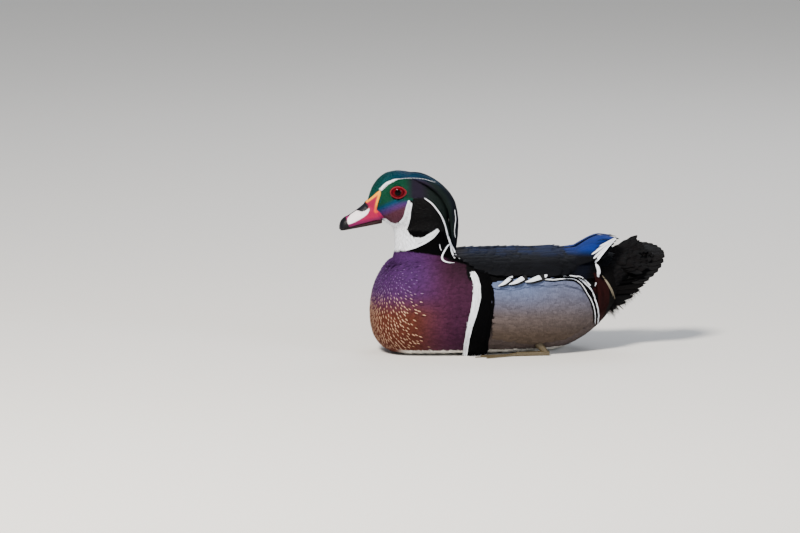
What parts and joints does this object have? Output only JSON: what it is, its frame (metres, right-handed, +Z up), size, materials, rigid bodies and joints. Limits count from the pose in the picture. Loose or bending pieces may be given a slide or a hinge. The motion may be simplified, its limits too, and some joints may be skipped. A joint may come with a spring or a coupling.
{
  "type": "wood duck drake model",
  "caption": "Life-size wood duck drake resting on its belly with head up and tail fanned, as a still display model.",
  "frame": {"origin": "middle of the bird's bounding box, at the level of the flat under the belly", "axes": "+X towards the tail, -X towards the bill, -Y the bird's left side, +Z up"},
  "size_m": [0.3537, 0.1399, 0.198],
  "materials": {
    "body_feathers": "satin",
    "black_feathers": "satin",
    "head_feathers": "satin",
    "flank_feathers": "matte",
    "wing_feathers": "satin",
    "bill_horn": "gloss",
    "dark_bill_horn": "gloss",
    "eye_cornea": "gloss",
    "leg_skin": "satin"
  },
  "bodies": {
    "root": {"torso": "body_feathers", "neck": "black_feathers", "head": "head_feathers", "crest": "head_feathers", "bill_upper": "bill_horn", "bill_lower": "dark_bill_horn", "eye_left": "eye_cornea", "eye_right": "eye_cornea", "wing_left": "wing_feathers", "wing_right": "wing_feathers", "flank_left": "flank_feathers", "flank_right": "flank_feathers", "tail": "black_feathers", "leg_left": "leg_skin", "leg_right": "leg_skin", "foot_left": "leg_skin", "foot_right": "leg_skin"}
  },
  "joints": []
}
